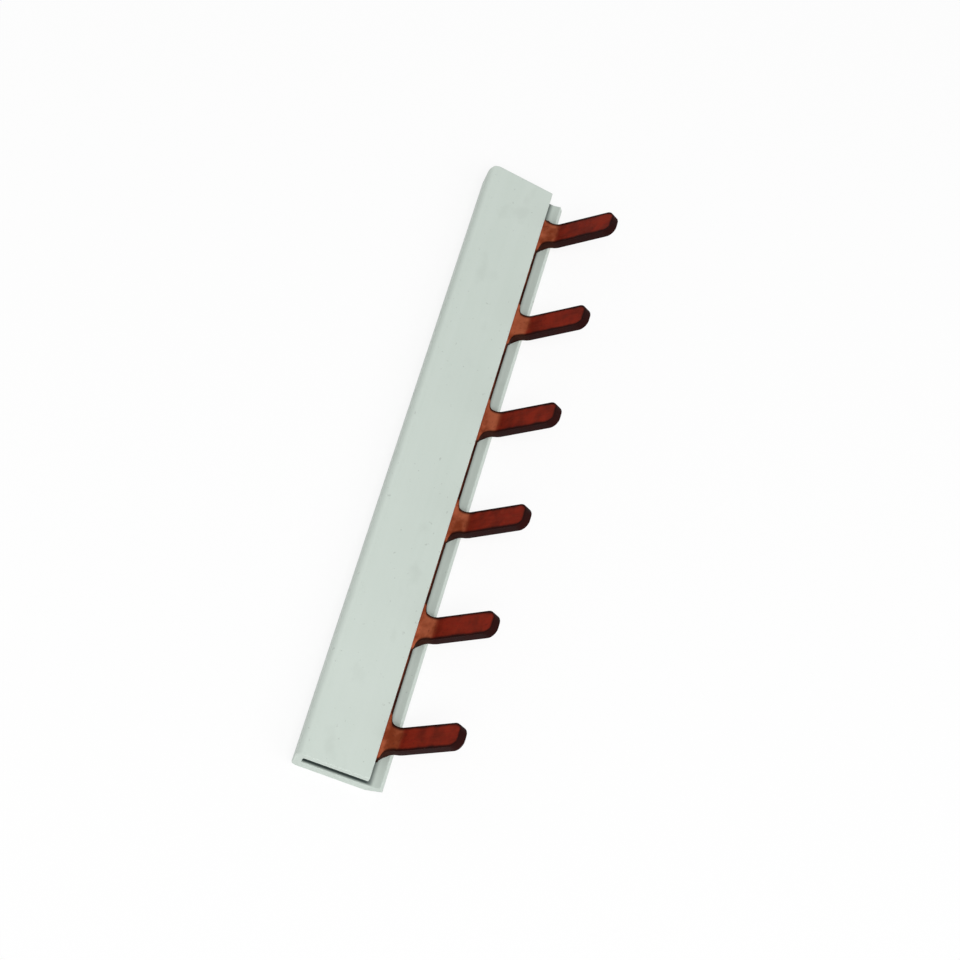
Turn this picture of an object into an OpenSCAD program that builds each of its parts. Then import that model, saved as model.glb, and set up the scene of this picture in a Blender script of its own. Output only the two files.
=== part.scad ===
// Comb busbar: one bent copper comb, gripped in the slot of one folded plastic channel.
// The bar lies on the flat back of the channel. X runs along the bar, Y from the closed spine
// towards the pins, and Z up from the back wall to the front wall.
// The origin is the middle of the flat back, at half the front wall's width.

// Piece to draw.

/* [Pins] */
// Centre distance of neighbouring pins, one module of a distribution board.
pitch = 17.8; // [17.5:0.1:18]
// Number of pins.
pin_count = 6; // [2:1:12]
// Width of a pin.
pin_w = 3.7; // [3.2:0.1:4.4]
// Straight length of a pin's blade, from its upper bend to its tip.
blade_l = 10.8; // [8:0.1:14]
// Radius of the two corners at a pin's tip.
tip_r = 1.5; // [0.5:0.1:1.5]
// Radius of the hollow corners where a pin leaves the strip.
root_r = 2; // [0.5:0.1:2.5]
// Angle of the pin's root above the strip.
root_deg = 28; // [20:1:35]
// Angle of the pin's blade above the strip.
blade_deg = 53; // [45:1:65]
// Straight length of a pin between its two bends.
root_l = 1.5; // [0.5:0.1:2]
// Radius on the inside of each bend.
bend_r = 0.8; // [0.5:0.1:1]

/* [Strip] */
// Thickness of the copper sheet.
copper_t = 1.3; // [1:0.1:1.5]
// Distance from the inside of the spine to the strip.
strip_gap = 0.4; // [0.1:0.1:2]
// How far the strip stands out past the edge of the front wall.
strip_out = 0.5; // [0.1:0.1:1]
// Distance from the first pin's centre to the strip's end.
strip_end_a = 2.4; // [2.3:0.1:4]
// Distance from the last pin's centre to the strip's other end.
strip_end_b = 3.5; // [2.5:0.1:4]

/* [Channel] */
// Width of the front wall.
front_w = 10.7; // [10:0.1:12]
// Thickness of the front wall.
front_t = 1.1; // [0.8:0.1:1.5]
// Thickness of the back wall.
back_t = 1.7; // [1.1:0.1:2]
// Thickness of the spine.
spine_t = 1.2; // [1:0.1:2]
// Radius of the spine's two outer corners.
spine_r = 0.9; // [0.4:0.1:1]
// Play between the strip and each wall, bridged by the gripping ribs.
play = 0.15; // [0.1:0.05:0.2]
// Width of a gripping rib.
rib_w = 0.6; // [0.4:0.1:1]
// Thickness of the lip under the pins.
lip_t = 1.1; // [0.8:0.1:1.1]
// Straight length of the lip past its bend.
lip_l = 0.6; // [0.4:0.1:1.5]
// Distance from the first pin's centre to the channel's end.
end_a = 8.1; // [6:0.1:9]
// Distance from the last pin's centre to the channel's other end.
end_b = 7.2; // [6:0.1:9]
// Slant of the cut at the first end.
slant_deg = 7.5; // [1:0.5:8]
// Radius of the spine's corner at the slanted end.
corner_r = 1.5; // [0.5:0.1:2]

/* [Hidden] */
$fn = 96;
// Extra depth of a cutter past the solid that it cuts.
over = 1;
slot_t = copper_t + 2 * play;
channel_d = back_t + slot_t + front_t;
channel_l = end_a + (pin_count - 1) * pitch + end_b;
x_a = -channel_l / 2;
x_b = channel_l / 2;
pin_x0 = x_a + end_a;
y_spine = -front_w / 2;
y_mouth = front_w / 2;
strip_z = back_t + play;
strip_y = y_spine + spine_t + strip_gap;
strip_edge = y_mouth + strip_out;
strip_x = pin_x0 - strip_end_a;
strip_l = strip_end_a + (pin_count - 1) * pitch + strip_end_b;
// Centre of the lower bend, shared by the pin and the lip around it, and centre of the upper bend.
bend_z = strip_z + copper_t + bend_r;
low_bend = [strip_edge, bend_z];
high_bend = low_bend + root_l * along(root_deg);
// Radius on the outside of each bend of the copper.
bend_out = bend_r + copper_t;
// Inner and outer radius of the lip's bend, one play outside the pins.
lip_in = bend_out + play;
lip_out = lip_in + lip_t;
// Flat steps in each bend.
bend_steps = 6;
// Far reach of the pins in Y, more than any bent pin needs.
reach = 2 * (blade_l + root_l + root_r);

// Direction in a Y-Z section at an angle above the strip, and the direction square to it.
function along(angle) = [cos(angle), sin(angle)];
function across(angle) = [-sin(angle), cos(angle)];

// Points on the underside of a bend at the given radius, from one angle of the run to another.
function bend_points(centre, radius, from_deg, to_deg) =
    [for (i = [0 : bend_steps]) centre - radius * across(from_deg + (to_deg - from_deg) * i / bend_steps)];

// Draws a Y-Z section as a bar along X, between two positions.
module along_x(from_x, to_x) {
    translate([from_x, 0, 0]) rotate([90, 0, 90]) linear_extrude(to_x - from_x) children();
}

// The bent sheet from the strip's back edge to the pins' tips, as a Y-Z section.
module sheet_section() {
    tip = high_bend + blade_l * along(blade_deg);
    polygon(concat(
        [[strip_y, strip_z]],
        bend_points(low_bend, bend_out, 0, root_deg),
        bend_points(high_bend, bend_out, root_deg, blade_deg),
        [tip - bend_out * across(blade_deg), tip - bend_r * across(blade_deg)],
        bend_points(high_bend, bend_r, blade_deg, root_deg),
        bend_points(low_bend, bend_r, root_deg, 0),
        [[strip_y, strip_z + copper_t]]
    ));
}

// The hollow corners of a pin's root, seen from above, with the pin between them.
module root_plan() {
    translate([-pin_w / 2, -over]) square([pin_w, reach]);
    difference() {
        translate([-pin_w / 2 - root_r, -over]) square([pin_w + 2 * root_r, over + root_r]);
        for (side = [-1, 1]) translate([side * (pin_w / 2 + root_r), root_r]) circle(root_r);
    }
}

// The comb seen from above: the strip and its pins.
module comb_plan() {
    intersection() {
        union() {
            translate([strip_x, strip_y - over]) square([strip_l, strip_edge - strip_y + over]);
            for (i = [0 : pin_count - 1]) translate([pin_x0 + i * pitch, strip_edge]) root_plan();
        }
        translate([strip_x, strip_y - over]) square([strip_l, strip_edge - strip_y + reach]);
    }
}

// The waste outside the two round corners of a pin's tip, in the plane of its blade.
module tip_waste() {
    for (side = [-1, 1]) difference() {
        translate([side * (pin_w - tip_r + over) / 2, (over - tip_r) / 2])
            square(tip_r + over, center = true);
        translate([side * (pin_w / 2 - tip_r), -tip_r]) circle(tip_r);
    }
}

// Moves a shape from the plane of a blade to the tip of the pin at the given X.
module at_tip(x) {
    translate([x, high_bend[0], high_bend[1]]) rotate([blade_deg, 0, 0])
        translate([0, blade_l, -bend_out]) children();
}

// Copper comb: a stamped strip with a row of pins, each bent twice.
module copper_comb() {
    color([0.5, 0.2, 0.15]) difference() {
        intersection() {
            along_x(strip_x - over, strip_x + strip_l + over) sheet_section();
            translate([0, 0, -over]) linear_extrude(channel_d + reach) comb_plan();
        }
        for (i = [0 : pin_count - 1]) at_tip(pin_x0 + i * pitch)
            translate([0, 0, -over]) linear_extrude(copper_t + 2 * over) tip_waste();
    }
}

// The channel's walls and spine around the slot, as a Y-Z section.
module wall_section() {
    difference() {
        union() {
            translate([y_spine + spine_r, 0]) square([front_w - spine_r, channel_d]);
            translate([y_spine, spine_r]) square([spine_r, channel_d - 2 * spine_r]);
            for (z = [spine_r, channel_d - spine_r]) translate([y_spine + spine_r, z]) circle(spine_r);
        }
        translate([y_spine + spine_t, back_t]) square([front_w, slot_t]);
    }
}

// The lip that carries the back wall on under the pins, as a Y-Z section.
module lip_section() {
    end = low_bend + lip_l * along(root_deg);
    foot = low_bend - lip_out * across(root_deg);
    polygon(concat(
        [[y_mouth - over, back_t], [y_mouth - over, 0], foot - foot[1] / sin(root_deg) * along(root_deg)],
        [end - lip_out * across(root_deg), end - lip_in * across(root_deg)],
        bend_points(low_bend, lip_in, root_deg, 0)
    ));
}

// The four ribs that bridge the play and grip the strip, as a Y-Z section.
module rib_section() {
    for (y = [strip_y + rib_w, y_mouth - 2 * rib_w]) {
        translate([y, back_t - play]) square([rib_w, 2 * play]);
        translate([y, back_t + slot_t - play]) square([rib_w, 2 * play]);
    }
}

// The channel's outline from above, with its slanted end and that end's round corner.
module end_plan() {
    slant = (front_w + reach) * tan(slant_deg);
    difference() {
        polygon([
            [x_a, y_spine],
            [x_b, y_spine],
            [x_b, y_mouth + reach],
            [x_a + slant, y_mouth + reach]
        ]);
        translate([x_a, y_spine]) corner_waste();
    }
}

// The waste outside the round corner between the spine and the slanted end.
module corner_waste() {
    // The corner's angle is a right angle less the slant.
    half = (90 - slant_deg) / 2;
    run = corner_r / tan(half);
    difference() {
        polygon([
            [-over, -over],
            [run, -over],
            [run, 0],
            [run * cos(2 * half), run * sin(2 * half)],
            [-over, run * sin(2 * half)]
        ]);
        translate([run, corner_r]) circle(corner_r);
    }
}

// Insulating profile: one extruded plastic channel, with its lip bent towards the pins.
module insulating_profile() {
    color([0.78, 0.82, 0.79]) intersection() {
        along_x(x_a - over, x_b + over) {
            wall_section();
            lip_section();
            rib_section();
        }
        translate([0, 0, -over]) linear_extrude(channel_d + 2 * over) end_plan();
    }
}

insulating_profile();
copper_comb();
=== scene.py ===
import bpy
import numpy as np
from mathutils import Matrix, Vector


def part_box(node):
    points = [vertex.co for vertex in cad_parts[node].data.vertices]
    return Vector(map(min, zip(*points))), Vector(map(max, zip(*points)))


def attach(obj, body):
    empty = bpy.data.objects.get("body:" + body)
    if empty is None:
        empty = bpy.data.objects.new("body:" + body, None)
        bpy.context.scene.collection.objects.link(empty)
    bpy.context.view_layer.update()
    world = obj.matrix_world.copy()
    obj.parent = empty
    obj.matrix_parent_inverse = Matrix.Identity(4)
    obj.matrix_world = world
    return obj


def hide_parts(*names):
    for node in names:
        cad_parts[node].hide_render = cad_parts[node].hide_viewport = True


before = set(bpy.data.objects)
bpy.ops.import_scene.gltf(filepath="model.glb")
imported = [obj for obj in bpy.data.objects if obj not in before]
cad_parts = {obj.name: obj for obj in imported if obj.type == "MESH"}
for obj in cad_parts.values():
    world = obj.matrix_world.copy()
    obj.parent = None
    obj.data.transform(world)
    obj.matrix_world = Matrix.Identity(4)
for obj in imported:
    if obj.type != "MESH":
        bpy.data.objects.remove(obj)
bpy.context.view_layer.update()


# ---------------------------------------------------------------- insulating profile
# The bar's insulation: one length of rigid light grey PVC, extruded as a channel with a closed
# spine, a front wall, a back wall, and a lip that carries the back wall on under the pins.
# It is sawn to length, at a slant on one end, and grips the copper in its slot.

MM = 0.001
low, high = (np.array(c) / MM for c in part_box("insulating_profile"))
channel_d = high[2] - low[2]
front_w = -2 * low[1]
channel_end = high[0]
front_t, back_t, spine_t, spine_r = 1.1, 1.7, 1.2, 0.9
play = 0.15
copper_t = channel_d - front_t - back_t - 2 * play
bend_r = 0.8
strip_edge = front_w / 2 + 0.5
low_bend = np.array([strip_edge, back_t + play + copper_t + bend_r])
root_deg = 28.0


def along(degrees):
    """Unit vectors in the Y-Z plane, at angles above the flat back."""
    a = np.radians(degrees)
    return np.stack([np.cos(a), np.sin(a)], -1)


def across(degrees):
    """The unit vectors square to along(), a quarter turn on towards the front wall."""
    return along(np.asarray(degrees) + 90)


def run(a, b, n):
    """n points on the straight line from a to b, the last one left out."""
    return np.asarray(a) + np.arange(n)[:, None] / n * (np.asarray(b) - np.asarray(a))


def arc(centre, radius, from_deg, to_deg, n):
    """n points on a circle: centre plus radius times the direction of each angle, last left out."""
    return np.asarray(centre) + radius * along(from_deg + (to_deg - from_deg) * np.arange(n) / n)


def piece(name, points, faces, smooth=True, **attributes):
    """A mesh object from an array of points in millimetres, with one value per point and name."""
    mesh = bpy.data.meshes.new(name)
    mesh.from_pydata((points * MM).tolist(), [], faces.tolist())
    mesh.polygons.foreach_set("use_smooth", np.full(len(mesh.polygons), smooth))
    for key, values in attributes.items():
        layer = mesh.attributes.new(key, "FLOAT", "POINT")
        layer.data.foreach_set("value", np.asarray(values, np.float32))
    obj = bpy.data.objects.new(name, mesh)
    bpy.context.collection.objects.link(obj)
    return obj


def soften(obj, width, segments):
    """Rounds every sharp edge of a piece by a fine bevel."""
    bevel = obj.modifiers.new("soft edges", "BEVEL")
    bevel.width = width * MM
    bevel.segments = segments
    bevel.limit_method = "ANGLE"
    bevel.angle_limit = np.radians(30)
    bevel.harden_normals = True


def channel():
    """The channel's section, a band between an outer and an inner path of paired points, carried
    along X. Each point starts on the slanted cut, or on the circle that rounds its corner."""
    lip_l, lip_t = 0.6, 1.1
    lip_in = bend_r + copper_t + play
    back, top, w = -front_w / 2, channel_d, front_w / 2
    foot = low_bend - (lip_in + lip_t) * across(root_deg)
    kink = foot - foot[1] / np.sin(np.radians(root_deg)) * along(root_deg)
    lip_end = low_bend + lip_l * along(root_deg)
    outer = np.concatenate([
        run([w, top], [back + spine_r, top], 16),
        arc([back + spine_r, top - spine_r], spine_r, 90, 180, 8),
        run([back, top - spine_r], [back, spine_r], 6),
        arc([back + spine_r, spine_r], spine_r, 180, 270, 8),
        run([back + spine_r, 0], kink, 16),
        run(kink, lip_end - (lip_in + lip_t) * across(root_deg), 8),
        [lip_end - (lip_in + lip_t) * across(root_deg)],
    ])
    slot, slot_r = back + spine_t, 0.3
    inner = np.concatenate([
        run([w, top - front_t], [slot + slot_r, top - front_t], 16),
        arc([slot + slot_r, top - front_t - slot_r], slot_r, 90, 180, 8),
        run([slot, top - front_t - slot_r], [slot, back_t + slot_r], 6),
        arc([slot + slot_r, back_t + slot_r], slot_r, 180, 270, 8),
        run([slot + slot_r, back_t], [strip_edge, back_t], 16),
        low_bend - lip_in * across(root_deg * np.arange(6) / 5),
        [lip_end - lip_in * across(root_deg)] * 3,
    ])
    # The lip's own points are spread evenly along it, and the last one closes its edge.
    inner[-4:] = run(inner[-4], inner[-1], 3)[[0, 1, 2, 2]]
    inner[-1] = lip_end - lip_in * across(root_deg)
    band = np.stack([outer, inner])                      # 2 x path x (Y, Z)
    slant, corner_r = np.radians(7.5), 1.5
    centre = np.array([corner_r / np.tan((np.pi / 2 - slant) / 2), corner_r])
    y = band[..., 0] - back
    cut = y * np.tan(slant)
    hollow = centre[0] - np.sqrt(np.maximum(corner_r ** 2 - (y - corner_r) ** 2, 0))
    start = np.where(y < corner_r * (1 - np.sin(slant)), hollow, cut) - channel_end
    share = np.linspace(0, 1, 40)
    x = start[..., None] + share * (channel_end - start[..., None])
    points = np.concatenate([x[..., None], np.broadcast_to(band[:, :, None], x.shape + (2,))], -1)
    index = np.arange(x.size).reshape(x.shape)           # wall, path, station
    # Painted shade: a weight on the slot's inner faces near its mouth, which the material turns into the
    # near black shade that falls in the slot.
    slot_grime = np.zeros(x.shape)
    slot_grime[1] = (1 - np.clip((inner[:, 0] - front_w / 2 - 0.3) / 0.7, 0, 1))[:, None]
    slot_grime[1, 0] = 0

    def sheet(grid):
        """The quads of a grid of point numbers."""
        return np.stack([grid[:-1, :-1], grid[1:, :-1], grid[1:, 1:], grid[:-1, 1:]], -1).reshape(-1, 4)

    faces = np.concatenate([
        sheet(index[0]), sheet(index[1])[:, ::-1],
        sheet(index[:, :, 0]), sheet(index[:, :, -1])[:, ::-1],
        sheet(index[:, 0])[:, ::-1], sheet(index[:, -1]),
    ])
    return points.reshape(-1, 3), faces, slot_grime.ravel()


points, faces, slot_grime = channel()
profile = piece("profile_channel", points, faces, slot_grime=slot_grime)
soften(profile, 0.12, 2)


class Socket:
    """One value in a material's node tree. Arithmetic on it adds the Math nodes."""

    def __init__(self, tree, link):
        self.tree, self.link = tree, link

    def node(self, kind, inputs=(), output=0, stops=(), **settings):
        """Adds a node: its settings first, then the value or link of each named input."""
        made = self.tree.nodes.new(kind)
        for key, value in settings.items():
            setattr(made, key, value)
        for i, (position, colour) in enumerate(stops):
            stop = made.color_ramp.elements[i] if i < 2 else made.color_ramp.elements.new(position)
            stop.position, stop.color = position, colour
        for key, value in dict(inputs).items():
            if isinstance(value, Socket):
                self.tree.links.new(value.link, made.inputs[key])
            else:
                made.inputs[key].default_value = value
        return Socket(self.tree, made.outputs[output])

    def math(self, operation, a, b=0.0, clamp=False):
        """One Math node on two values."""
        return self.node("ShaderNodeMath", {0: a, 1: b}, operation=operation, use_clamp=clamp)

    def __add__(self, other):
        return self.math("ADD", self, other)

    def __sub__(self, other):
        return self.math("SUBTRACT", self, other)

    def __rsub__(self, other):
        return self.math("SUBTRACT", other, self)

    def __mul__(self, other):
        return self.math("MULTIPLY", self, other)

    __radd__, __rmul__ = __add__, __mul__

    def clip(self):
        """This value held between 0 and 1."""
        return self.math("ADD", self, 0.0, clamp=True)

    def steps(self, start, end):
        """0 below start, 1 above end, and a smooth rise between them."""
        return self.node("ShaderNodeMapRange", {0: self, 1: start, 2: end}, interpolation_type="SMOOTHSTEP")

    def blend(self, a, b):
        """Colour a where this value is 0, and colour b where it is 1."""
        return self.node("ShaderNodeMix", {0: self, 6: a, 7: b}, output=2, data_type="RGBA")


def finish_of(name):
    """A new material, with its Principled shader and the point on the piece in metres."""
    material = bpy.data.materials.new(name)
    material.use_nodes = True
    tree = material.node_tree
    shader = tree.nodes["Principled BSDF"]
    place = Socket(tree, None).node("ShaderNodeTexCoord", output="Object")
    return material, shader, place


def noise(place, scale, detail=3.0, stretch=(1, 1, 1), roughness=0.5):
    """Noise of 0 to 1 with features about 1/scale metres across, stretched along the axes."""
    turned = place.node("ShaderNodeMapping", {"Vector": place, "Scale": stretch})
    return place.node("ShaderNodeTexNoise", {"Vector": turned, "Scale": scale,
                                             "Detail": detail, "Roughness": roughness})


def bump(place, height, distance):
    """The normal of a surface raised by a height of 0 to 1 times a distance in metres."""
    return place.node("ShaderNodeBump", {"Height": height, "Distance": distance, "Strength": 1.0})


def wire(shader, **links):
    """Links values to the shader's inputs, where Base_Color stands for Base Color."""
    for key, value in links.items():
        value.tree.links.new(value.link, shader.inputs[key.replace("_", " ")])


def grey_pvc():
    """Pale grey-green PVC: broad clouding, faint drawn lines along the bar, dull rubbed smudges,
    a few specks of dirt, and painted shade, near black, that deepens inwards from the slot's ends and
    mouth."""
    material, shader, place = finish_of("grey pvc")
    cloud = noise(place, 70, 4, (0.6, 1, 1))
    drawn = noise(place, 900, 2, (0.015, 1, 1))
    smudge = noise(place, 240, 5, (0.7, 1, 1)).steps(0.58, 0.74)
    specks = noise(place, 1500, 2).steps(0.70, 0.76)
    # Painted shade in the slot: the slot weight, rising over half a millimetre inwards from the bar's ends,
    # darkens the colour to near black.
    grime = place.node("ShaderNodeAttribute", attribute_name="slot_grime", output="Fac")
    along_bar = place.node("ShaderNodeSeparateXYZ", {"Vector": place}, output=0)
    depth = channel_end * MM - along_bar.math("ABSOLUTE", along_bar)
    grime = grime * depth.steps(0.00001, 0.00045)
    body = cloud.blend((0.535, 0.612, 0.553, 1), (0.615, 0.685, 0.63, 1))
    body = (drawn * 0.35).blend(body, (0.66, 0.72, 0.68, 1))
    body = (smudge * 0.30).blend(body, (0.47, 0.53, 0.48, 1))
    body = (specks * 0.35).blend(body, (0.30, 0.33, 0.30, 1))
    body = (grime * 0.96).blend(body, (0.02, 0.036, 0.032, 1))
    wire(shader, Base_Color=body, Roughness=0.42 + cloud * 0.12 + smudge * 0.15,
         Normal=bump(place, drawn * 0.4 + noise(place, 2500, 2) * 0.6, 0.00003))
    shader.inputs["IOR"].default_value = 1.5
    shader.inputs["Specular IOR Level"].default_value = 0.35
    return material


profile.data.materials.append(grey_pvc())
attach(profile, "root")
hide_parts("insulating_profile")


# ---------------------------------------------------------------- copper comb
# The conductor: one strip stamped from copper sheet with a row of pins, each bent up at its root
# and again where its blade starts. Its strip is pushed into the slot of the channel.
# The pins' cut edges are dark with oxide, the strip's edge between the pins is painted near black as the
# shade in the slot, and the bent roots are the brightest metal.

pitch, pins = 17.8, 6
pin_w, root_r, tip_r = 3.7, 2.0, 1.5
root_l, blade_l, blade_deg = 1.5, 10.8, 53.0
end_a, end_b = 2.4, 3.5
comb_low = np.array(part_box("copper_comb")[0]) / MM
first_pin = comb_low[0] + end_a
bend_mid = bend_r + copper_t / 2
turns = bend_mid * np.radians([root_deg, blade_deg - root_deg])
blade_s = turns[0] + root_l + turns[1]
tip_s = blade_s + blade_l


def bent(x, s, n):
    """Puts a point of the flat sheet in place: s is its way along the sheet from the first bend,
    n its height over the sheet's middle. The way is straight, turned on a circle, straight,
    turned again, and straight to the tip."""
    angle = np.interp(s, [0, turns[0], turns[0] + root_l, blade_s], [0, root_deg, root_deg, blade_deg])
    straight = np.minimum(s, 0)[:, None] * along(0)
    straight = straight + (np.clip(s, turns[0], turns[0] + root_l) - turns[0])[:, None] * along(root_deg)
    straight = straight + np.maximum(s - blade_s, 0)[:, None] * along(blade_deg)
    yz = low_bend + straight - (bend_mid - n)[:, None] * across(angle)
    return np.column_stack([x, yz])


def comb():
    """A flat net of quads, the strip and one grid for each pin, joined where they meet, given its
    thickness and bent. A pin's half width follows the hollow corners of its root, runs straight,
    and follows the two round corners of its tip."""
    u = np.array([-1, -0.88, -0.75, -0.6, -0.4, -0.2, 0, 0.2, 0.4, 0.6, 0.75, 0.88, 1])
    a = np.radians(np.linspace(0, 90, 10))
    s = np.concatenate([root_r * (1 - np.cos(a)), np.linspace(root_r, tip_s - tip_r, 26)[1:],
                        tip_s - tip_r + tip_r * np.sin(a[1:])])
    half = np.concatenate([pin_w / 2 + root_r * (1 - np.sin(a)), np.full(25, pin_w / 2),
                           pin_w / 2 - tip_r + tip_r * np.cos(a[1:])])
    centre = first_pin + pitch * np.arange(pins)
    side = half[None, :, None] * np.ones((pins, 1, 2))       # half widths towards -X and +X
    side[0, :, 0] = np.minimum(half, end_a)
    side[-1, :, 1] = np.minimum(half, end_b)
    pin_x = centre[:, None, None] + u * np.where(u < 0, side[..., :1], side[..., 1:])
    pin_s = np.broadcast_to(s[None, :, None], pin_x.shape)
    room = (1 - abs(u)) * np.where(u < 0, side[..., :1], side[..., 1:])
    pin_inset = np.minimum(room, tip_s - pin_s)
    base = pin_x[:, 0]
    gaps = base[:-1, -1:] + (base[1:, :1] - base[:-1, -1:]) * np.linspace(0.08, 0.92, 8)
    strip_s = np.array([comb_low[1] - strip_edge, -6.5, -4, -2, -0.6, -0.2, 0])
    at_x = np.concatenate([base.ravel(), gaps.ravel()])
    order = np.argsort(at_x)
    strip_room = np.concatenate([pin_inset[:, 0].ravel(), np.zeros(gaps.size)])[order]
    strip = np.broadcast_arrays(at_x[order][None, None], strip_s[None, :, None],
                                strip_room[None, None] - strip_s[None, :, None])
    flat, quads, count = [], [], 0
    for x, way, inset in [strip, (pin_x, pin_s, pin_inset)]:
        flat.append(np.stack([x, way, inset], -1).reshape(-1, 3))
        i = np.arange(x.size).reshape(x.shape) + count
        corners = [i[:, :-1, :-1], i[:, :-1, 1:], i[:, 1:, 1:], i[:, 1:, :-1]]
        quads.append(np.stack(corners, -1).reshape(-1, 4))
        count += x.size
    flat, quads = np.concatenate(flat), np.concatenate(quads)
    _, first, joined = np.unique(np.round(flat[:, :2], 4), axis=0, return_index=True, return_inverse=True)
    flat, quads = flat[first], joined.ravel()[quads]
    sides = np.concatenate([quads[:, [k, (k + 1) % 4]] for k in range(4)])
    key = np.sort(sides, 1) @ [len(flat), 1]
    _, where, times = np.unique(key, return_index=True, return_counts=True)
    rim = sides[where[times == 1]]
    n = len(flat)
    faces = np.concatenate([quads, quads[:, ::-1] + n,
                            np.column_stack([rim[:, 0] + n, rim[:, 1] + n, rim[:, 1], rim[:, 0]])])
    x, way, inset = np.tile(flat, (2, 1)).T
    height = np.repeat([copper_t / 2, -copper_t / 2], n)
    return bent(x, way, height), faces, way, inset


points, faces, way, inset = comb()
copper = piece("comb_copper", points, faces, way=way, inset=inset)
soften(copper, 0.2, 3)


def oxidised_copper():
    """Red-brown copper: dull oxide on the blades, near black along the cut edges (oxide on the pins,
    painted shade where the strip's edge sits in the slot), bright salmon where the roots were bent, with
    blotches and fine marks drawn along each pin."""
    material, shader, place = finish_of("oxidised copper")
    inset = place.node("ShaderNodeAttribute", attribute_name="inset", output="Fac")
    way = place.node("ShaderNodeAttribute", attribute_name="way", output="Fac")
    blotch = noise(place, 500, 4)
    fine = noise(place, 2600, 3)
    drawn = noise(place, 3000, 2, (1, 0.12, 0.12))
    root = 1 - (way + blotch * 1.6).steps(2.9, 4.3)
    body = blotch.steps(0.3, 0.7).blend((0.13, 0.006, 0.003, 1), (0.25, 0.015, 0.007, 1))
    body = (drawn * 0.25).blend(body, (0.34, 0.06, 0.015, 1))
    salmon = blotch.steps(0.35, 0.65).blend((0.27, 0.052, 0.018, 1), (0.50, 0.135, 0.062, 1))
    body = (root * 0.9).blend(body, salmon)
    body = (fine.steps(0.58, 0.75) * 0.4).blend(body, (0.06, 0.008, 0.006, 1))
    # Near black within about half a millimetre of the sheet's edges: oxide on the pins' cut edges, and
    # painted shade along the strip's edge between the pins, where the slot shades it.
    edge_oxide_and_shade = 1 - (inset + (blotch - 0.5) * 0.35).steps(0.15, 0.62)
    body = (edge_oxide_and_shade * 0.93).blend(body, (0.008, 0.002, 0.002, 1))
    wire(shader, Base_Color=body, Roughness=0.42 + blotch * 0.25 + edge_oxide_and_shade * 0.1,
         Metallic=0.25 + root * 0.15 - edge_oxide_and_shade * 0.2,
         Normal=bump(place, drawn * 0.6 + fine * 0.4, 0.00004))
    shader.inputs["Specular IOR Level"].default_value = 0.06
    return material


copper.data.materials.append(oxidised_copper())
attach(copper, "root")
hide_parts("copper_comb")


# ---------------------------------------------------------------- studio
# A plain pale floor under the bar, two soft lamps, an even white surround, and a camera that
# looks down on the front wall and along the bar from its square end.

half_floor, floor_gap = 3000, 0.02
floor_corners = half_floor * np.array([[-1, -1, 0], [1, -1, 0], [1, 1, 0], [-1, 1, 0.0]])
floor = piece("floor", floor_corners + [0, 0, low[2] - floor_gap], np.array([[0, 1, 2, 3]]))
paper = bpy.data.materials.new("pale floor")
paper.use_nodes = True
tree = paper.node_tree
shader = tree.nodes["Principled BSDF"]
shader.inputs["Base Color"].default_value = (0.93, 0.93, 0.93, 1)
shader.inputs["Roughness"].default_value = 0.9
# The camera and mirror rays see the floor as nearly white paper.
seen = Socket(tree, None).node("ShaderNodeLightPath", output="Is Camera Ray")
glossy = seen.node("ShaderNodeLightPath", output="Is Glossy Ray")
white = seen.node("ShaderNodeEmission", {"Color": (1, 1, 1, 1), "Strength": 1.0})
whiteness = ((seen + glossy) * 0.82).clip()
mixed = seen.node("ShaderNodeMixShader", {0: whiteness, 1: Socket(tree, shader.outputs[0]), 2: white})
tree.links.new(mixed.link, tree.nodes["Material Output"].inputs["Surface"])
floor.data.materials.append(paper)

world = bpy.data.worlds.new("surround")
world.use_nodes = True
world.node_tree.nodes["Background"].inputs["Color"].default_value = (1, 1, 1, 1)
world.node_tree.nodes["Background"].inputs["Strength"].default_value = 0.48
bpy.context.scene.world = world


def lamp(name, place, size, watts):
    """A square soft lamp at a place in metres, turned to face the bar."""
    light = bpy.data.lights.new(name, "AREA")
    light.size, light.energy = size, watts
    obj = bpy.data.objects.new(name, light)
    bpy.context.collection.objects.link(obj)
    obj.location = place
    obj.rotation_euler = (-obj.location).to_track_quat("-Z", "Y").to_euler()


lamp("key", (0.45, 0.05, 0.8), 0.5, 4.3)
lamp("fill", (0.3, 0.8, 0.7), 0.8, 2.6)

camera_data = bpy.data.cameras.new("camera")
camera_data.sensor_width = 36.0
camera_data.lens = 96.214
camera_data.clip_start, camera_data.clip_end = 0.01, 20.0
camera = bpy.data.objects.new("camera", camera_data)
bpy.context.collection.objects.link(camera)
# Columns: the camera's right, up and back, and its place in metres.
camera.matrix_world = Matrix((
    (-0.257153, -0.832940, 0.489983, 0.18610),
    (0.930834, -0.349732, -0.106002, -0.03213),
    (0.259656, 0.428834, 0.865263, 0.32940),
    (0, 0, 0, 1),
))
bpy.context.scene.camera = camera

bpy.context.scene.view_settings.view_transform = "Standard"
